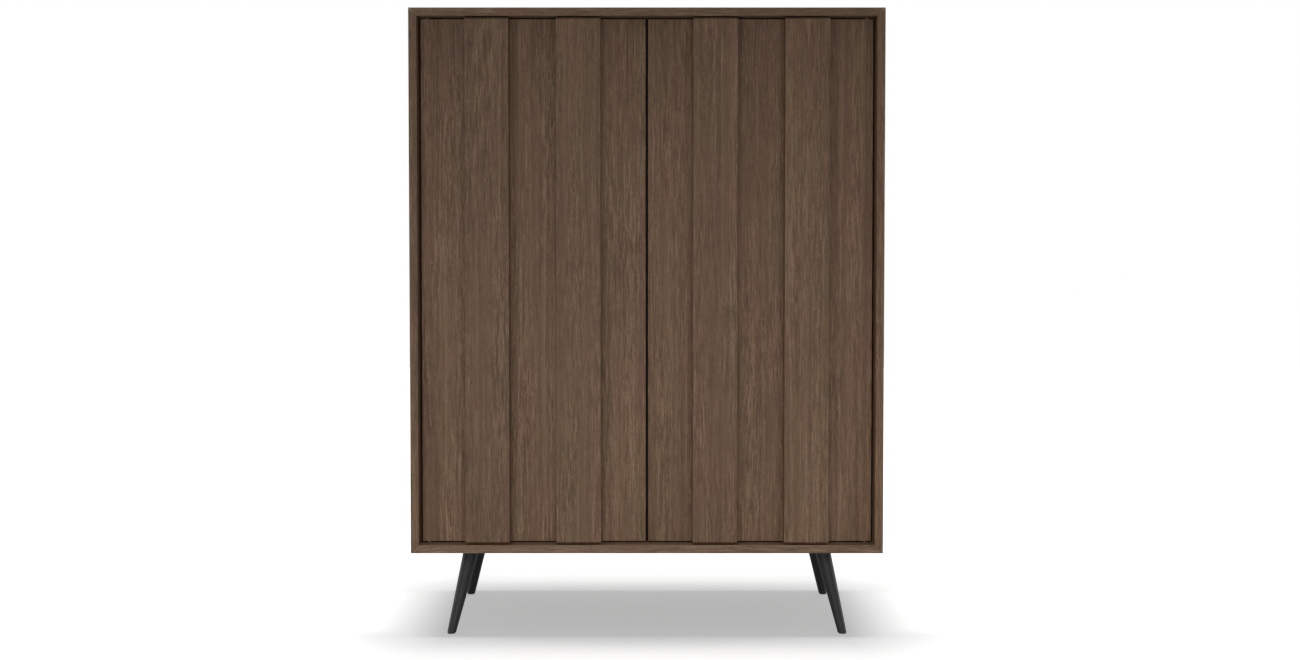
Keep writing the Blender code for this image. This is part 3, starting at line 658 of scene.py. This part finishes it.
def addFittings():
    f = fittings
    framePlates, legPlates, collars, latches = [], [], [], []
    for side, sign in (("left", -1), ("right", 1)):
        onFrame, onDoor = pivotScrews(side, sign)
        framePlates += onFrame
        screwHeads(f"{side}_door_plate_screws", f"{side}_door", onDoor, f["plateScrew"])
        low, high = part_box(f"{side}_strike_plate")
        strike = ((low[0] + high[0]) / 2, high[1], (low[2] + high[2]) / 2)
        screwHeads(f"{side}_strike_screw", f"{side}_door", [(strike, back)], f["strikeScrew"])
        low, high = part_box(f"{side}_latch_housing")
        for offset in (-f["latchScrewReach"], f["latchScrewReach"]):
            place = ((low[0] + high[0]) / 2 + offset, f["latchScrewY"], high[2] - f["latchFlange"])
            latches.append((place, down))
        for end in ("front", "rear"):
            low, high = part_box(f"{end}_{side}_leg_plate")
            centre = np.array(((low[0] + high[0]) / 2, (low[1] + high[1]) / 2, low[2]))
            for turn in np.radians(f["legScrewTurns"]):
                reach = f["legScrewRing"] * np.array((math.cos(turn), math.sin(turn), 0))
                legPlates.append((tuple(centre + reach), down))
    screwHeads("frame_plate_screws", "cabinet", framePlates, f["plateScrew"])
    screwHeads("latch_screws", "cabinet", latches, f["latchScrew"], f["latchScrewProud"])
    screwHeads("leg_plate_screws", "cabinet", legPlates, f["legScrew"])
    half = cabinet["board"] / 2
    for z in f["shelfPinZ"]:
        for y in f["shelfPinY"]:
            collars += [((-insideX, y, z), right), ((-half, y, z), left),
                        ((half, y, z), right), ((insideX, y, z), left)]
    pinCollars("shelf_pin_collars", collars)


addFittings()
print("screws and collars set")

studio = {
    "worldSeen": 1.0,  # strength where the camera or a reflection sees it
    "worldLight": 0.16,
    "floorSize": 14.0,
    "floorColor": 0.18,
    "floorSeenColor": 0.85,
    "floorSeenGlow": 0.415,
    "floorRoughness": 0.9,
    "paintedShadowHalf": (0.47, 0.285),  # half sizes of the rectangle round which the floor's glow is held low, a painted shadow, and outside which it grows brighter
    # Metres from, to, and by how much the glow rises, fading out the painted shadow
    "paintedShadowFade": ((0.0, 0.13, 0.15), (0.13, 0.32, 0.25), (0.80, 3.00, 0.35)),
    "sun": {"strength": 2.3, "angle": 62.0, "tilt": 6.0},
    "floorLamp": {"place": (0, 0.036, 6.4), "aim": (0, 0.036, 0), "size": (5.6, 0.60),
                  "power": 168, "spread": 180},
    "lights": {
        "frontHigh": {"place": (-0.16, -2.50, 1.45), "aim": (-0.05, -0.2, -0.15), "size": (3.4, 0.60),
                      "power": 19.4, "spread": 112},
        "frontLow": {"place": (-0.16, -2.35, 0.05), "aim": (-0.05, -0.2, 0.08), "size": (3.4, 0.40),
                     "power": 21.4, "spread": 120},
        "left": {"place": (-2.90, 0.25, 0.55), "aim": (0, 0.1, 0.65), "size": (1.8, 0.9),
                 "power": 27, "spread": 180},
        "right": {"place": (2.90, 0.25, 0.55), "aim": (0, 0.1, 0.65), "size": (1.8, 0.9),
                  "power": 27, "spread": 180},
        "rear": {"place": (0.20, 2.75, 0.55), "aim": (0, 0.2, 0.65), "size": (2.2, 0.9),
                 "power": 35, "spread": 180},
    },
}


def evenGrey(value):
    return (value, value, value, 1)


# 1 where the camera or a reflection sees the surface, 0 where it only returns light
def seenDirectly(tree):
    path = tree.nodes.new("ShaderNodeLightPath").outputs
    return path, calc(tree, "MAXIMUM", path["Is Camera Ray"], path["Is Glossy Ray"])


# A plain floor, white where it is seen and pale where it only returns light. Its glow is held low near
# a
# rectangle under the cabinet, a painted shadow round the real one, and rises with the distance from it:
# the root of the squares of how far X and Y lie outside.
def addFloor():
    half = studio["floorSize"] / 2
    mesh = bpy.data.meshes.new("floor")
    corners = [(-half, -half, 0), (half, -half, 0), (half, half, 0), (-half, half, 0)]
    mesh.from_pydata(corners, [], [(0, 1, 2, 3)])
    floor = bpy.data.objects.new("floor", mesh)
    scene.collection.objects.link(floor)
    material, tree, shader = newMaterial("paleFloor", studio["floorRoughness"], specular=0.0)
    shader.inputs["Base Color"].default_value = evenGrey(studio["floorColor"])
    seen = addNode(tree, "ShaderNodeBsdfDiffuse", {"Color": evenGrey(studio["floorSeenColor"])})
    axes = addNode(tree, "ShaderNodeSeparateXYZ", {0: objectPoint(tree)[0]}).outputs
    outside = []
    for axis, reach in zip("XY", studio["paintedShadowHalf"]):
        beyond = calc(tree, "SUBTRACT", calc(tree, "ABSOLUTE", axes[axis]), reach)
        outside.append(calc(tree, "MAXIMUM", beyond, 0.0))
    paintedShadowDistance = calc(tree, "SQRT", calc(tree, "MULTIPLY_ADD", outside[0], outside[0],
                                   calc(tree, "MULTIPLY", outside[1], outside[1])))
    strength = studio["floorSeenGlow"]
    # Painted shadow: the glow stays low near the cabinet and rises in steps away from it
    for start, end, rise in studio["paintedShadowFade"]:
        strength = calc(tree, "ADD", remap(tree, paintedShadowDistance, start, end, 0.0, rise), strength)
    glowWithPaintedShadow = addNode(tree, "ShaderNodeEmission", {"Strength": strength})
    bright = addNode(tree, "ShaderNodeAddShader", {0: seen.outputs[0], 1: glowWithPaintedShadow.outputs[0]})
    eye = seenDirectly(tree)[1]
    mix = addNode(tree, "ShaderNodeMixShader", {0: eye, 1: shader.outputs[0], 2: bright.outputs[0]})
    tree.links.new(mix.outputs[0], tree.nodes["Material Output"].inputs["Surface"])
    mesh.materials.append(material)
    return floor


def addWorld():
    world = bpy.data.worlds.new("studio")
    scene.world = world
    world.use_nodes = True
    tree = world.node_tree
    path, eye = seenDirectly(tree)
    eye = calc(tree, "MAXIMUM", eye, path["Is Transmission Ray"])
    strength = remap(tree, eye, 0.0, 1.0, studio["worldLight"], studio["worldSeen"])
    background = tree.nodes["Background"]
    background.inputs["Color"].default_value = (1, 1, 1, 1)
    tree.links.new(strength, background.inputs["Strength"])


# A collection that ties a light to the pieces it may light, or to those that may block it
def linkedTo(name, pieces, state="INCLUDE"):
    group = bpy.data.collections.new(name)
    for piece in pieces:
        group.objects.link(piece)
    for entry in group.collection_objects:
        entry.light_linking.link_state = state
    return group


def addLamp(name, values, lit):
    data = bpy.data.lights.new(name, "AREA")
    data.shape = "RECTANGLE"
    data.size, data.size_y = values["size"]
    data.energy = values["power"]
    data.spread = math.radians(values["spread"])
    light = bpy.data.objects.new(name, data)
    scene.collection.objects.link(light)
    light.location = values["place"]
    aim = Vector(values["aim"]) - light.location
    light.rotation_euler = aim.to_track_quat("-Z", "Y").to_euler()
    light.visible_camera = False
    light.light_linking.receiver_collection = lit
    return light


# One long lamp lights the floor alone, shaded by the underside, the doors, the back and the legs.
# The others light the cabinet and leave the floor out.
def addLights(floor):
    cabinetOnly = linkedTo("floorLeftOut", [floor], "EXCLUDE")
    sun = bpy.data.lights.new("overhead", "SUN")
    sun.energy = studio["sun"]["strength"]
    sun.angle = math.radians(studio["sun"]["angle"])
    overhead = bpy.data.objects.new("overhead", sun)
    overhead.rotation_euler = (-math.radians(studio["sun"]["tilt"]), 0, 0)
    scene.collection.objects.link(overhead)
    overhead.light_linking.receiver_collection = cabinetOnly
    for name, values in studio["lights"].items():
        addLamp(name, values, cabinetOnly)
    floorLamp = addLamp("floorLamp", studio["floorLamp"], linkedTo("floorAlone", [floor]))
    casters = [nodes[name] for name in nodes
               if name in ("bottom_panel", "back_panel") or name.endswith("_leg") or "_door_" in name]
    floorLamp.light_linking.blocker_collection = linkedTo("shadeCasters", casters)


floor = addFloor()
addWorld()
addLights(floor)
scene.view_settings.view_transform = "Standard"
print("studio lit")
